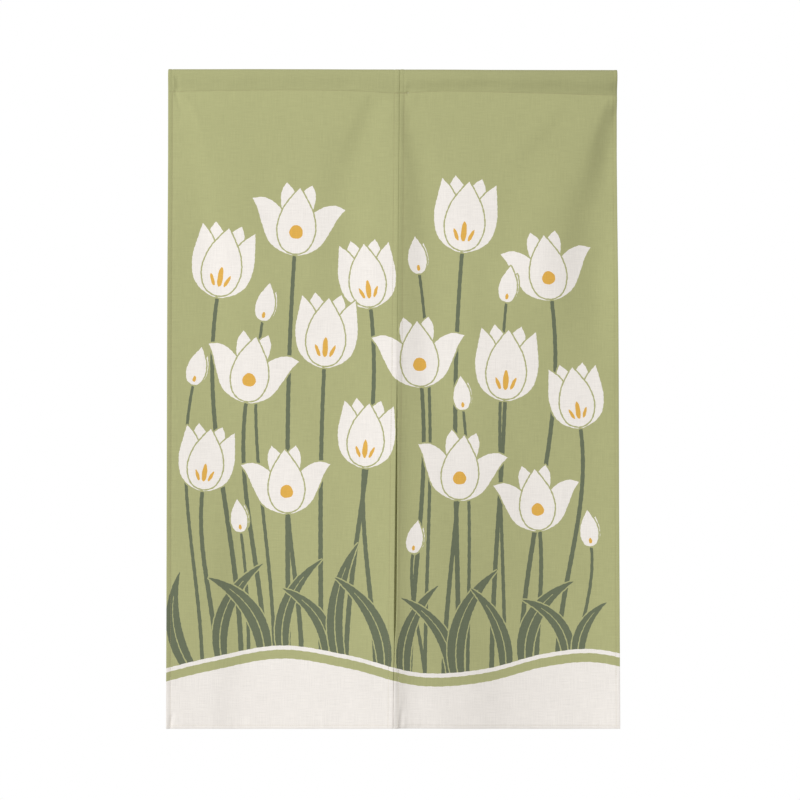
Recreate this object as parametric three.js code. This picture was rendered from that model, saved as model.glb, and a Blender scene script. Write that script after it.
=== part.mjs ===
// A split door curtain: two hemmed panels of linen-look cloth, side by side, each with its
// half of a rod pocket folded over the top. They are sewn edge to edge down to the slit.
// Millimetres, +Z up, +X to the viewer's right, the printed face towards -Y.
// The origin is the middle of the top edge, above the stitch line of the pocket.
import * as THREE from 'three';

// Driving dimensions of the hanging curtain
const drop = 1200;
const clothThickness = 1.2;
const topSag = { drop: 1.8, from: -250, over: 650 };

// The foot hangs lower by this share of how far back it stands, from this height down
const footFollow = { share: 0.148, from: -700, over: 460 };

// Rod pocket: the cloth goes up in front, over the rod and down to the stitch line behind
const pocketHeight = 44;
const pocketFront = 4;
const pocketFrontOver = 27;
const pocketBack = 13.5;
const pocketArchHeight = 10;
const pocketArchSteps = 6;
const pocketLegSteps = 4;

// Hems are turned to the back and add this much to the cloth's thickness
const hemExtra = 0.9;
const hemStep = 2;
const outerHemWidth = { left: 9.2, right: 8.4 };
const innerHemWidth = 11;
const bottomHemWidth = 8;

// The panels nearly touch along the seam, and the slit stands a little open: by x at height z
const seamGap = 0.3;
const slitTop = -538;
const slitOpening = [
  { z: -550, x: 0 }, { z: -575, x: 0.5 }, { z: -624, x: 1.6 }, { z: -711, x: 2.6 },
  { z: -800, x: 3.3 }, { z: -886, x: 3.6 }, { z: -951, x: 3.8 }, { z: -995, x: 3.3 },
  { z: -1020, x: 2.5 }, { z: -1038.5, x: 0.8 }, { z: -1060, x: 0 }, { z: -1200, x: 0 },
];

// How finely each panel is divided
const columnsBetweenHems = 25;
const upperRows = { count: 15, to: -420, easing: 1.25 };
const lowerRows = { count: 14 };

// The three upright lines that bound the panels: x at heights z down the curtain
const leftEdge = [
  { z: 0, x: -407.8 },
  { z: -290, x: -408.1 },
  { z: -490, x: -408.7 },
  { z: -750, x: -409.4 },
  { z: -1200, x: -410.9 },
];
const joinLine = [
  { z: 0, x: 13.6 },
  { z: -100, x: 12.6 },
  { z: -250, x: 11.2 },
  { z: -450, x: 9.4 },
  { z: -660, x: 7.8 },
  { z: -900, x: 5.6 },
  { z: -1000, x: 4.4 },
  { z: -1100, x: 2.4 },
  { z: -1200, x: 1.2 },
];
const rightEdge = [
  { z: 0, x: 408.4 },
  { z: -48, x: 408.4 },
  { z: -290, x: 409.8 },
  { z: -750, x: 412.2 },
  { z: -950, x: 414 },
  { z: -1200, x: 415.3 },
];

// The pocket's stitch line wanders: how far it is lifted at x, from left to right. The cloth
// takes up the difference over liftOver below it
const pocketLine = [
  { x: -412, lift: 1.8 }, { x: -360, lift: 3.4 }, { x: -300, lift: 4.2 }, { x: -200, lift: 5.4 },
  { x: -100, lift: 4.4 }, { x: -45, lift: 2.8 }, { x: -8, lift: 0.2 }, { x: 22, lift: 0 },
  { x: 80, lift: 3 }, { x: 150, lift: 2.8 }, { x: 235, lift: 0.4 }, { x: 290, lift: -0.6 },
  { x: 360, lift: -3.2 }, { x: 412, lift: -3.8 },
];
const liftOver = 100;

// Folds, one row each. rise is how far the crest stands towards the viewer (a trough is
// negative), left and right are the widths of its flanks, and path gives x at heights z.
// It fades in over fadeIn below the path's first height, and out over fadeOut above its last.
// A sharp one has a crisp crest.
const folds = [
  {
    name: 'drape from the left corner', rise: 2.6, left: 50, right: 170, fadeIn: 30, fadeOut: 340,
    path: [
      { z: -44, x: -368 }, { z: -100, x: -341 }, { z: -200, x: -314 }, { z: -300, x: -298 },
      { z: -470, x: -288 }, { z: -720, x: -280 },
    ],
  },
  {
    name: 'crease left of the seam', rise: -2.4, left: 30, right: 40, fadeIn: 30, fadeOut: 140,
    path: [
      { z: -46, x: -24 }, { z: -84, x: -42 }, { z: -120, x: -58 }, { z: -170, x: -74 },
      { z: -240, x: -84 },
    ],
  },
  {
    name: 'trough left of the seam', rise: -3.6, left: 68, right: 62, fadeIn: 100, fadeOut: 240,
    path: [
      { z: -80, x: -46 }, { z: -165, x: -72 }, { z: -220, x: -82 }, { z: -300, x: -86 },
      { z: -500, x: -90 },
    ],
  },
  {
    name: 'ridge at the top of the seam', rise: 2, left: 60, right: 24, fadeIn: 40, fadeOut: 120,
    path: [{ z: -44, x: 10 }, { z: -120, x: 10 }, { z: -240, x: 8 }],
  },
  {
    name: 'ridge along the seam', rise: 7.2,
    left: 120, right: 50, fadeIn: 260, fadeOut: 40, sharp: true,
    path: [{ z: -60, x: 12.5 }, { z: -250, x: 11.2 }, { z: -660, x: 7.8 }, { z: -1240, x: 1 }],
  },
  {
    name: 'fall beside the slit', rise: 3.2,
    left: 100, right: 24, fadeIn: 240, fadeOut: 140, sharp: true,
    path: [{ z: -460, x: 9.4 }, { z: -660, x: 7.8 }, { z: -1140, x: 2 }],
  },
  {
    name: 'trough right of the seam', rise: -3, left: 26, right: 50, fadeIn: 120, fadeOut: 100,
    path: [
      { z: -46, x: 26 }, { z: -84, x: 32 }, { z: -120, x: 38 }, { z: -165, x: 45 },
      { z: -260, x: 52 },
    ],
  },
  {
    name: 'trough right of the seam, lower', rise: -4.4,
    left: 50, right: 80, fadeIn: 140, fadeOut: 260,
    path: [
      { z: -140, x: 48 }, { z: -220, x: 56 }, { z: -290, x: 64 }, { z: -400, x: 72 },
      { z: -720, x: 84 },
    ],
  },
  {
    name: 'faint crease below the right corner', rise: 1.8,
    left: 44, right: 22, fadeIn: 30, fadeOut: 100,
    path: [
      { z: -50, x: 300 }, { z: -84, x: 284 }, { z: -120, x: 258 }, { z: -165, x: 222 },
      { z: -220, x: 180 },
    ],
  },
  {
    name: 'crest of the right corner drape', rise: 5.8,
    left: 110, right: 74, fadeIn: 180, fadeOut: 260,
    path: [
      { z: -44, x: 374 }, { z: -120, x: 346 }, { z: -165, x: 331 }, { z: -220, x: 314 },
      { z: -290, x: 286 }, { z: -380, x: 266 }, { z: -600, x: 256 },
    ],
  },
  {
    name: 'top of the right corner trough', rise: -7.6,
    left: 34, right: 50, fadeIn: 40, fadeOut: 120,
    path: [
      { z: -44, x: 421 }, { z: -75, x: 414 }, { z: -120, x: 400 }, { z: -165, x: 391.5 },
      { z: -260, x: 372 },
    ],
  },
  {
    name: 'trough of the right corner drape', rise: -7.4,
    left: 78, right: 60, fadeIn: 160, fadeOut: 260,
    path: [
      { z: -100, x: 414 }, { z: -165, x: 404 }, { z: -220, x: 396 }, { z: -290, x: 386 },
      { z: -380, x: 374 }, { z: -620, x: 362 },
    ],
  },
  {
    name: 'lift of the right edge', rise: 4.2, left: 75, right: 60, fadeIn: 240, fadeOut: 20,
    path: [{ z: -200, x: 430 }, { z: -600, x: 432 }, { z: -1240, x: 434 }],
  },
  {
    name: 'trough low on the left panel', rise: -6.6,
    left: 66, right: 230, fadeIn: 400, fadeOut: 20,
    path: [{ z: -520, x: -264 }, { z: -900, x: -265 }, { z: -1240, x: -267 }],
  },
  {
    name: 'slack low on the left edge', rise: 8.2, left: 50, right: 125, fadeIn: 340, fadeOut: 20,
    path: [{ z: -100, x: -420 }, { z: -1240, x: -420 }],
  },
  {
    name: 'fall of the right panel', rise: -28, left: 250, right: 300, fadeIn: 520, fadeOut: 20,
    path: [{ z: -500, x: 276 }, { z: -900, x: 278 }, { z: -1240, x: 278 }],
  },
  {
    name: "lean of the right panel's top", rise: -6, left: 170, right: 220, fadeIn: 120, fadeOut: 200,
    path: [{ z: -60, x: 345 }, { z: -440, x: 345 }],
  },
];

// The pocket's front is fuller to the right: its shares of pocketFront, from this x on
const pocketFuller = { left: 0.55, right: 1.55, from: -30, over: 120 };

// The pocket wavers a little between its ends, from this far above its stitch line
const waveFrom = 20;
const pocketWaves = [
  { length: 310, size: 0.5, shift: 0.4 },
  { length: 127, size: 0.25, shift: 1.9 },
];

const smooth = (t) => {
  const u = THREE.MathUtils.clamp(t, 0, 1);
  return u * u * (3 - 2 * u);
};

// A bell of height 1 at its middle that reaches 0 one flank's width away
const bell = (u) => (Math.abs(u) < 1 ? (1 + Math.cos(Math.PI * u)) / 2 : 0);

// The same with a crisp top
const peak = (u) => Math.max(0, 1 - Math.abs(u)) ** 1.7;

// The value at a place on a line given by points, eased between them by their slopes
function eased(points, at, place, value) {
  const last = points.length - 1;
  const rising = points[last][at] > points[0][at];
  const beyond = (i) => (rising ? place >= points[i][at] : place <= points[i][at]);
  if (!beyond(0)) return points[0][value];
  if (beyond(last)) return points[last][value];
  let i = 0;
  while (beyond(i + 1)) i += 1;
  const slope = (a, b) => (points[b][value] - points[a][value]) / (points[b][at] - points[a][at]);
  const here = slope(i, i + 1);
  const before = i > 0 ? (slope(i - 1, i) + here) / 2 : here;
  const after = i < last - 1 ? (slope(i + 1, i + 2) + here) / 2 : here;
  const span = points[i + 1][at] - points[i][at];
  const t = (place - points[i][at]) / span;
  const t2 = t * t;
  const t3 = t2 * t;
  return (2 * t3 - 3 * t2 + 1) * points[i][value] + (t3 - 2 * t2 + t) * span * before
    + (3 * t2 - 2 * t3) * points[i + 1][value] + (t3 - t2) * span * after;
}

const along = (points, z) => eased(points, 'z', z, 'x');
const lineLift = (x) => eased(pocketLine, 'x', x, 'lift');

// How far the cloth stands towards the viewer at x, z, for all the folds together
function foldRise(x, z) {
  let rise = 0;
  for (const fold of folds) {
    const first = fold.path[0].z;
    const last = fold.path[fold.path.length - 1].z;
    const fade = smooth((first - z) / fold.fadeIn) * smooth((z - last) / fold.fadeOut);
    const away = x - along(fold.path, z);
    const off = away / (away < 0 ? fold.left : fold.right);
    rise += fold.rise * fade * (fold.sharp ? peak(off) : bell(off));
  }
  return rise;
}

const slitWidth = (z) => seamGap + along(slitOpening, z);

function pocketWave(x) {
  let offset = 0;
  for (const wave of pocketWaves) {
    offset += wave.size * Math.sin((2 * Math.PI * x) / wave.length + wave.shift);
  }
  return offset;
}

// How far below its own height the foot of the cloth hangs at x, z
function footDrop(x, z) {
  const { share, from, over } = footFollow;
  return -share * smooth((from - z) / over) * foldRise(x, z);
}

const topZ = (x) => -topSag.drop * smooth((x - topSag.from) / topSag.over);

function fuller(x) {
  const { left, right, from, over } = pocketFuller;
  return THREE.MathUtils.lerp(left, right, smooth((x - from) / over));
}

// The pocket seen from its end: the middle of the cloth from the stitch line in front, over
// the top, to the stitch line behind, as y and height above the stitch line
function pocketCourse() {
  const middle = (pocketBack - pocketFront) / 2;
  const radius = (pocketBack + pocketFront) / 2;
  const legTop = pocketHeight - pocketArchHeight;
  const archTop = pocketArchHeight - clothThickness / 2;
  const frontAt = (up) => pocketFront * smooth(up / pocketFrontOver);
  const course = [];
  for (let i = 0; i < pocketLegSteps; i += 1) {
    const t = i / pocketLegSteps;
    course.push({ y: -frontAt(legTop * t), up: legTop * t, bulge: frontAt(legTop * t) });
  }
  for (let i = 0; i <= pocketArchSteps; i += 1) {
    const angle = (Math.PI * i) / pocketArchSteps;
    const bulge = pocketFront * (1 - smooth(angle / 2));
    course.push({
      y: middle - radius * Math.cos(angle), up: legTop + archTop * Math.sin(angle), bulge,
    });
  }
  for (let i = 1; i <= pocketLegSteps; i += 1) {
    const t = 1 - i / pocketLegSteps;
    const y = clothThickness + (pocketBack - clothThickness) * smooth(t);
    course.push({ y, up: legTop * t, bulge: 0 });
  }
  return course;
}

// The course moved out by half the cloth's thickness, or in by as much
function pocketSkin(course, outward) {
  const offset = (outward * clothThickness) / 2;
  return course.map((point, i) => {
    const a = course[Math.max(i - 1, 0)];
    const b = course[Math.min(i + 1, course.length - 1)];
    const length = Math.hypot(b.y - a.y, b.up - a.up);
    return {
      y: point.y - (offset * (b.up - a.up)) / length,
      up: point.up + (offset * (b.y - a.y)) / length,
      bulge: point.bulge,
    };
  });
}

// Heights of the hanging cloth, from just under the stitch line to the bottom edge
function rowHeights() {
  const heights = [-pocketHeight - hemStep];
  for (let i = 1; i <= upperRows.count; i += 1) {
    const t = i / upperRows.count;
    heights.push(THREE.MathUtils.lerp(-pocketHeight - hemStep, upperRows.to, t ** upperRows.easing));
  }
  const lowest = -drop + bottomHemWidth + hemStep;
  for (let i = 1; i <= lowerRows.count; i += 1) {
    heights.push(THREE.MathUtils.lerp(upperRows.to, lowest, i / lowerRows.count));
  }
  heights.push(-drop + bottomHemWidth, -drop);
  return heights;
}

// Columns of a panel, each with its x for the panel's edges at one height: two in each side
// hem, and the rest evenly between the hems
function panelColumns(leftHem, rightHem) {
  const columns = [
    { hemmed: true, x: (left) => left },
    { hemmed: true, x: (left) => left + leftHem },
  ];
  for (let i = 0; i <= columnsBetweenHems; i += 1) {
    const t = i / columnsBetweenHems;
    const x = (left, right) => (1 - t) * (left + leftHem + hemStep) + t * (right - rightHem - hemStep);
    columns.push({ hemmed: false, x });
  }
  columns.push({ hemmed: true, x: (left, right) => right - rightHem });
  columns.push({ hemmed: true, x: (left, right) => right });
  return columns;
}

// One panel as a closed sheet: an outer skin from the bottom edge up the front, over the
// pocket and down the back, an inner skin that lines the pocket, and the two cut sides
function panelGeometry(leftLine, rightLine, leftHem, rightHem) {
  const columns = panelColumns(leftHem, rightHem);
  const rows = rowHeights();
  const course = pocketCourse();
  const outer = pocketSkin(course, 1);
  const inner = pocketSkin(course, -1).slice(1, -1);
  const half = clothThickness / 2;
  const positions = [];
  const indices = [];
  const add = (x, y, z) => positions.push(x, y, z) / 3 - 1;

  const rings = columns.map((column) => {
    const hanging = (z, side) => {
      const x = column.x(leftLine(z), rightLine(z));
      const hemmed = column.hemmed || z < -drop + bottomHemWidth + hemStep / 2;
      const back = half + (hemmed ? hemExtra : 0);
      const lift = lineLift(x) * smooth(1 + (z + pocketHeight) / liftOver);
      return add(x, (side === 'front' ? -half : back) - foldRise(x, z), z + lift - footDrop(x, z));
    };
    const header = (point) => {
      const x = column.x(leftLine(0), rightLine(0));
      const share = point.up / pocketHeight;
      const z = -pocketHeight + point.up + topZ(x) * share + lineLift(x) * (1 - share);
      const y = point.y - (fuller(x) - 1) * point.bulge;
      return add(x, y - pocketWave(x) * smooth(point.up / waveFrom), z);
    };
    const front = rows.map((z) => hanging(z, 'front'));
    const back = rows.map((z) => hanging(z, 'back'));
    const skin = outer.map(header);
    const lining = [header({ y: half, up: half, bulge: 0 }), ...inner.map(header)];
    return { front, back, skin, lining };
  });

  const quad = (a, b, c, d) => indices.push(a, b, c, a, c, d);
  const walk = (ring) => [...ring.front.slice().reverse(), ...ring.skin, ...ring.back];

  // Between one column and the next
  for (let i = 0; i + 1 < rings.length; i += 1) {
    const here = walk(rings[i]);
    const next = walk(rings[i + 1]);
    here.forEach((point, j) => {
      const k = (j + 1) % here.length;
      quad(point, next[j], next[k], here[k]);
    });
    const lining = rings[i].lining;
    const nextLining = rings[i + 1].lining;
    lining.forEach((point, j) => {
      const k = (j + 1) % lining.length;
      quad(point, lining[k], nextLining[k], nextLining[j]);
    });
  }

  // The cut side of a panel, facing left for the first column and right for the last
  const side = (ring, faceLeft) => {
    const face = (a, b, c, d) => (faceLeft ? quad(a, b, c, d) : quad(d, c, b, a));
    const { front, back, skin, lining } = ring;
    for (let j = 0; j + 1 < front.length; j += 1) {
      face(front[j], back[j], back[j + 1], front[j + 1]);
    }
    face(skin[0], skin[skin.length - 1], back[0], front[0]);
    for (let j = 0; j + 1 < skin.length; j += 1) {
      const a = lining[j % lining.length];
      const b = lining[(j + 1) % lining.length];
      if (a !== b) face(skin[j], skin[j + 1], b, a);
    }
    const corner = [skin[0], lining[0], skin[skin.length - 1]];
    indices.push(...(faceLeft ? corner : corner.reverse()));
  };
  side(rings[0], true);
  side(rings[rings.length - 1], false);

  const geometry = new THREE.BufferGeometry();
  geometry.setAttribute('position', new THREE.Float32BufferAttribute(positions, 3));
  geometry.setIndex(indices);
  geometry.computeVertexNormals();
  return geometry;
}

const linen = { color: 0xadae7e, roughness: 0.92, metalness: 0 };

function panel(name, leftLine, rightLine, leftHem, rightHem) {
  const geometry = panelGeometry(leftLine, rightLine, leftHem, rightHem);
  const mesh = new THREE.Mesh(geometry, new THREE.MeshStandardMaterial(linen));
  mesh.name = name;
  return mesh;
}

const leftPanelLeft = (z) => along(leftEdge, z);
const rightPanelRight = (z) => along(rightEdge, z);
const leftPanelRight = (z) => along(joinLine, z) - slitWidth(z) / 2;
const rightPanelLeft = (z) => along(joinLine, z) + slitWidth(z) / 2;

const curtain = new THREE.Group();
curtain.add(
  panel('panel_left', leftPanelLeft, leftPanelRight, outerHemWidth.left, innerHemWidth),
  panel('panel_right', rightPanelLeft, rightPanelRight, innerHemWidth, outerHemWidth.right),
);

export default curtain;
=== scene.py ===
import math

import bpy
import numpy as np
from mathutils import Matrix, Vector, kdtree
from mathutils.geometry import delaunay_2d_cdt


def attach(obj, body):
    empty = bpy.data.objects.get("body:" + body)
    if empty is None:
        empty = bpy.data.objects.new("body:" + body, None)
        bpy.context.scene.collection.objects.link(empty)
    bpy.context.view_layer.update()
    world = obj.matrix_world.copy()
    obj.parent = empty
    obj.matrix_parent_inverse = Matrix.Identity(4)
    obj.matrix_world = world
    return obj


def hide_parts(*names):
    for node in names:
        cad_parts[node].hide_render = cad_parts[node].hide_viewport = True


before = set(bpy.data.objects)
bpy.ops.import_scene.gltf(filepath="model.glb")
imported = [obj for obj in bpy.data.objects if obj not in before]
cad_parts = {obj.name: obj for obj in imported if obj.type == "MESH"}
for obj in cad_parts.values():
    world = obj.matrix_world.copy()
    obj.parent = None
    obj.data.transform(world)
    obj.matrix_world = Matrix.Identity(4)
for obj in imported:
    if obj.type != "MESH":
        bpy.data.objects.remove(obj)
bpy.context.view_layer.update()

# Metres throughout. x runs to the viewer's right, z up from the top edge, and the printed
# side faces -y. A fold's rise is towards the viewer.


def table(columns, rows):  # a dictionary for each row, with the columns as its keys
    return [dict(zip(columns.split(), row)) for row in rows]


# Camera

photo = {
    "side": 800,              # pixels
    "metresPerPixel": 0.001818,
    "middleX": 392.5,         # the pixel column of x = 0
    "topY": 68.8,             # the pixel row of z = 0
    "lens": 100.0,
    "sensor": 36.0,
}


def fromPixel(px, py):
    k = photo["metresPerPixel"]
    return (px - photo["middleX"]) * k, -(py - photo["topY"]) * k


def addCamera():
    x, z = fromPixel(photo["side"] / 2, photo["side"] / 2)
    view = bpy.data.cameras.new("viewer")
    view.lens = photo["lens"]
    view.sensor_width = photo["sensor"]
    view.clip_end = 60
    away = photo["side"] * photo["metresPerPixel"] * photo["lens"] / photo["sensor"]
    camera = bpy.data.objects.new("viewer", view)
    camera.location = (x, -away, z)
    camera.rotation_euler = (math.pi / 2, 0, 0)
    bpy.context.scene.collection.objects.link(camera)
    bpy.context.scene.camera = camera


addCamera()
print("camera in place")

# Shape of the hanging cloth

curtain = {
    "drop": 1.2,
    "thickness": 0.0012,
    "hemExtra": 0.0009,       # how much thicker the turned hems are
    "hemStep": 0.0006,        # a hem's extra thickness begins over this width
    "outerHem": 0.0084,
    "leftOuterHem": 0.0092,
    "innerHem": 0.011,
    "bottomHem": 0.008,
    "stitchInset": 0.0014,    # the stitches run this far inside a hem's inner edge
    "edgeRound": 0.0006,
    "slitTop": -0.538,
    "edgeCurl": 0.0009,       # the left edge's hem leans forward by this much, over this width
    "edgeCurlWide": 0.0095,
    "seamDip": 0.0004,        # the left panel's inner edge bends back by this much at the seam
    "seamDipWide": 0.0032,
    "grooveFrom": -0.17,      # above this height the hems show as they do near the pocket
    "grooveOver": 0.10,
    "grooveBehind": 0.6,      # the share of a stitched groove that shows at the back
    "rippleFrom": -0.05,      # the gentle unevenness begins below this height
    "rippleOver": 0.12,
    "footFollow": 0.148,      # the foot hangs lower by this share of how far back it stands
    "footFrom": -0.70,
    "footOver": 0.46,
}

# How deep the stitches draw the cloth in, and how far from them. The pocket's row, the back
# tack beside the seam and the foot's row are given as shares of that depth
sink = {
    "depth": 0.00030,
    "reach": 0.0009,
    "pocket": 1.3,
    "pocketReach": 0.0011,
    "tack": 2.6,
    "tackX": 0.0170,
    "tackHalf": 0.0150,
    "tackOver": 0.003,
    "foot": 0.16,
    "footMore": 0.34,         # the foot's row is drawn in more around this x
    "footX": 0.10,
    "footHalf": 0.17,
}

# How much a hem bulges. The right panel's inner hem is fuller from one height up and from
# another down
fullness = {
    "hem": 0.00018,
    "middle": 0.45,           # its fullest place and its reach, as shares of the stitches' inset
    "reach": 0.6,
    "innerWithin": 0.02,
    "up": 0.00013,
    "upFrom": -0.42,
    "upOver": 0.12,
    "down": 0.00052,
    "downFrom": -1.02,
    "downOver": 0.07,
}

# How far the slit stands open at heights z, as a share of its widest
slitOpening = [(-0.55, 0.0), (-0.575, 0.12), (-0.624, 0.41), (-0.711, 0.68), (-0.80, 0.87),
               (-0.886, 0.94), (-0.951, 1.0), (-0.995, 0.88), (-1.020, 0.66), (-1.0385, 0.27),
               (-1.060, 0.17), (-1.10, 0.14), (-1.17, 0.09), (-1.2, 0.14)]

# The right panel's inner edge slips behind the left panel's: how far under and how far back it
# goes, between which widths it comes forward, and the gap in front, along the seam and in the
# middle of the slit
tuck = {
    "seam": {"under": 0.0012, "back": 0.0023, "flat": 0.00105, "over": 0.00125, "gap": 0.0001},
    "slit": {"under": 0.0046, "back": 0.0076, "flat": 0.0044, "over": 0.0058, "gap": 0.0038},
    "ends": 0.035,            # how far up the pocket's front it goes
    "endsOver": 0.009,
}

pocket = {
    "height": 0.044,
    "front": 0.004,
    "frontOver": 0.027,       # the height over which the front comes forward above its stitches
    "back": 0.0135,
    "archHeight": 0.010,
    "turnedUnder": 0.003,     # the pocket's back layer ends this far below its stitches
    "turnedGap": 0.00005,     # and this far behind the cloth
    "frontEnds": 0.062,       # so far round, the front's folds and creases have died out
    "frontFade": 0.03,
    "bulgeFrom": 0.036,       # from here round, the front's uneven fullness dies out
    "bulgeFade": 0.018,
    "backFrom": 0.06,         # from here round, the back follows the folds, up to this height
    "backFollows": 0.016,
    "backFade": 0.012,
    "backHemFrom": 0.055,     # from here round, the back stands off by its side hems
    "backHemOver": 0.04,
    "sag": 0.0018,
    "sagFrom": -0.25,
    "sagOver": 0.65,
    "fuller": (0.55, 1.55),   # how full the front is, as shares, from this x on and over this width
    "fullerFrom": -0.03,
    "fullerOver": 0.12,
    "liftOver": 0.10,         # the stitch line's own rise and fall dies out over this much below it
    "waveFrom": 0.020,
    "waves": [{"length": 0.310, "size": 0.0005, "shift": 0.4},
              {"length": 0.127, "size": 0.00025, "shift": 1.9}],
}

# The upright lines that bound the panels, as z and x
leftEdge = [(0.0, -0.4078), (-0.29, -0.4081), (-0.49, -0.4087), (-0.75, -0.4094), (-1.2, -0.4109)]
joinLine = [(0.0, 0.0136), (-0.10, 0.0126), (-0.25, 0.0112), (-0.45, 0.0094), (-0.66, 0.0078),
            (-0.90, 0.0056), (-1.0, 0.0044), (-1.1, 0.0024), (-1.2, 0.0012)]
rightEdge = [(0.0, 0.4084), (-0.048, 0.4084), (-0.29, 0.4098), (-0.75, 0.4122), (-0.95, 0.4140),
             (-1.2, 0.4153)]

# How far the pocket's stitch line is lifted at x, from right to left, as x and lift
pocketLine = [(0.412, -0.0038), (0.36, -0.0032), (0.29, -0.0006), (0.235, 0.0004), (0.15, 0.0028),
              (0.08, 0.0030), (0.022, 0.0), (-0.008, 0.0002), (-0.045, 0.0028), (-0.10, 0.0044),
              (-0.20, 0.0054), (-0.30, 0.0042), (-0.36, 0.0034), (-0.412, 0.0018)]

# Folds: rise of the crest, widths of its left and right flanks, the lengths over which it
# fades in at the top and out at the bottom, and its path as z and x. A sharp one has a crisp crest
folds = table("name rise left right fadeIn fadeOut sharp path", [
    ("drape from the left corner", 0.0026, 0.050, 0.17, 0.03, 0.34, 0,
     [(-0.044, -0.368), (-0.10, -0.341), (-0.20, -0.314), (-0.30, -0.298), (-0.47, -0.288),
      (-0.72, -0.280)]),
    ("crease left of the seam", -0.0024, 0.030, 0.040, 0.03, 0.14, 0,
     [(-0.046, -0.024), (-0.084, -0.042), (-0.12, -0.058), (-0.17, -0.074), (-0.24, -0.084)]),
    ("trough left of the seam", -0.0036, 0.068, 0.062, 0.10, 0.24, 0,
     [(-0.08, -0.046), (-0.165, -0.072), (-0.22, -0.082), (-0.30, -0.086), (-0.50, -0.09)]),
    ("ridge at the top of the seam", 0.0020, 0.060, 0.024, 0.04, 0.12, 0,
     [(-0.044, 0.010), (-0.12, 0.010), (-0.24, 0.008)]),
    ("ridge along the seam", 0.0072, 0.120, 0.050, 0.26, 0.04, 1,
     [(-0.06, 0.0125), (-0.25, 0.0112), (-0.66, 0.0078), (-1.24, 0.001)]),
    ("fall beside the slit", 0.0032, 0.100, 0.024, 0.24, 0.14, 1,
     [(-0.46, 0.0094), (-0.66, 0.0078), (-1.14, 0.002)]),
    ("trough right of the seam", -0.0030, 0.026, 0.050, 0.12, 0.10, 0,
     [(-0.046, 0.026), (-0.084, 0.032), (-0.12, 0.038), (-0.165, 0.045), (-0.26, 0.052)]),
    ("trough right of the seam, lower", -0.0044, 0.050, 0.080, 0.14, 0.26, 0,
     [(-0.14, 0.048), (-0.22, 0.056), (-0.29, 0.064), (-0.40, 0.072), (-0.72, 0.084)]),
    ("faint crease below the right corner", 0.0014, 0.044, 0.030, 0.03, 0.10, 0,
     [(-0.05, 0.300), (-0.084, 0.284), (-0.12, 0.258), (-0.165, 0.222), (-0.22, 0.18)]),
    ("crest of the right corner drape", 0.0058, 0.110, 0.074, 0.18, 0.26, 0,
     [(-0.044, 0.374), (-0.12, 0.346), (-0.165, 0.331), (-0.22, 0.314), (-0.29, 0.286), (-0.38, 0.266),
      (-0.60, 0.256)]),
    ("top of the right corner trough", -0.0076, 0.042, 0.050, 0.04, 0.12, 0,
     [(-0.044, 0.421), (-0.075, 0.414), (-0.12, 0.400), (-0.165, 0.3915), (-0.26, 0.372)]),
    ("trough of the right corner drape", -0.0074, 0.078, 0.060, 0.16, 0.26, 0,
     [(-0.10, 0.414), (-0.165, 0.404), (-0.22, 0.396), (-0.29, 0.386), (-0.38, 0.374), (-0.62, 0.362)]),
    ("lean of the right panel's top", -0.0060, 0.17, 0.22, 0.12, 0.20, 0,
     [(-0.06, 0.345), (-0.44, 0.345)]),
    ("lift of the right edge", 0.0042, 0.075, 0.06, 0.24, 0.02, 0,
     [(-0.20, 0.430), (-0.6, 0.432), (-1.24, 0.434)]),
    ("trough low on the left panel", -0.0066, 0.066, 0.230, 0.40, 0.02, 0,
     [(-0.52, -0.264), (-0.9, -0.265), (-1.24, -0.267)]),
    ("slack low on the left edge", 0.0082, 0.05, 0.125, 0.34, 0.02, 0,
     [(-0.10, -0.420), (-1.24, -0.420)]),
    ("fall of the right panel", -0.028, 0.25, 0.30, 0.52, 0.02, 0,
     [(-0.50, 0.276), (-0.9, 0.278), (-1.24, 0.278)]),
])

# Small creases that the stitching draws into the cloth, in the same columns
creases = table("name rise left right fadeIn fadeOut sharp path", [
    ("left corner pull", -0.0010, 0.005, 0.008, 0.014, 0.035, 0,
     [(-0.030, -0.3965), (-0.05, -0.393), (-0.10, -0.378)]),
    ("crease in the pocket's left corner", -0.0030, 0.004, 0.006, 0.024, 0.004, 0,
     [(-0.006, -0.3955), (-0.024, -0.3930), (-0.043, -0.3905)]),
    ("second left corner pull", 0.0008, 0.007, 0.011, 0.012, 0.06, 0,
     [(-0.046, -0.380), (-0.08, -0.362), (-0.15, -0.335)]),
    ("pinch right of the seam", -0.0016, 0.003, 0.0045, 0.014, 0.010, 0,
     [(-0.020, 0.0282), (-0.036, 0.0292), (-0.052, 0.027)]),
    ("pull left of the seam", -0.0008, 0.005, 0.007, 0.012, 0.03, 0,
     [(-0.044, -0.036), (-0.056, -0.041), (-0.075, -0.047)]),
    ("right corner pull", -0.0010, 0.010, 0.009, 0.02, 0.05, 0,
     [(-0.044, 0.410), (-0.06, 0.4075), (-0.12, 0.397)]),
    ("second right corner pull", 0.0007, 0.010, 0.008, 0.012, 0.06, 0,
     [(-0.046, 0.392), (-0.09, 0.380), (-0.16, 0.358)]),
    ("bottom left pinch", -0.0011, 0.005, 0.006, 0.016, 0.004, 0,
     [(-1.165, -0.398), (-1.205, -0.4055)]),
    ("pinch at the right panel's inner foot", -0.0019, 0.0055, 0.007, 0.030, 0.004, 0,
     [(-1.150, 0.0182), (-1.180, 0.0160), (-1.205, 0.0132)]),
    ("lean beside the left hem", 0.0012, 0.020, 0.036, 0.10, 0.16, 0,
     [(-0.20, -0.4095), (-1.06, -0.4105)]),
    ("lean of the right panel's inner foot", -0.0040, 0.024, 0.10, 0.08, 0.02, 0,
     [(-1.08, 0.026), (-1.16, 0.031), (-1.24, 0.027)]),
])

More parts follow.
